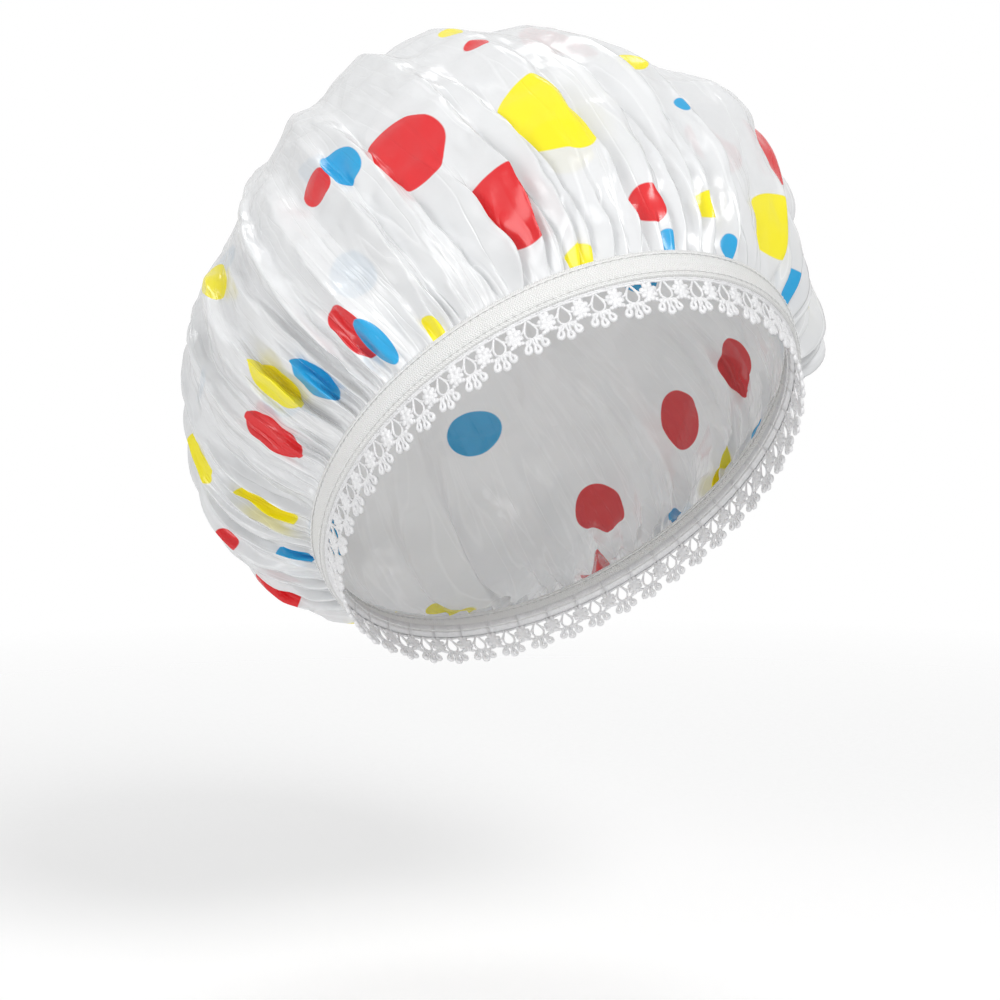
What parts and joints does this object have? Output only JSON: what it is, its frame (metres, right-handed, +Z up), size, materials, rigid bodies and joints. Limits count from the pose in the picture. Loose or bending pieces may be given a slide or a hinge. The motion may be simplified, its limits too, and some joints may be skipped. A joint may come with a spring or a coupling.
{
  "type": "shower cap",
  "caption": "Bouffant shower cap of gathered film with an elastic band in folded tape and scalloped lace trim, shown as worn.",
  "frame": {"origin": "middle of the head opening, at the middle of the band's width", "axes": "+Z up as worn, -Y towards the wearer's forehead, +X towards the wearer's left; the band's plane rises 42 degrees from nape to forehead"},
  "size_m": [0.2204, 0.2302, 0.2231],
  "materials": {
    "film": "satin translucent film with printed dots",
    "tape": "woven",
    "elastic": "woven elastic",
    "lace": "glossy yarn",
    "thread": "sewing thread"
  },
  "bodies": {
    "root": {"crown_film": "film", "casing_tape": "tape", "elastic_band": "elastic", "lace_trim": "lace", "upper_needle_thread": "thread", "lower_needle_thread": "thread", "upper_bobbin_thread": "thread", "lower_bobbin_thread": "thread"}
  },
  "joints": []
}
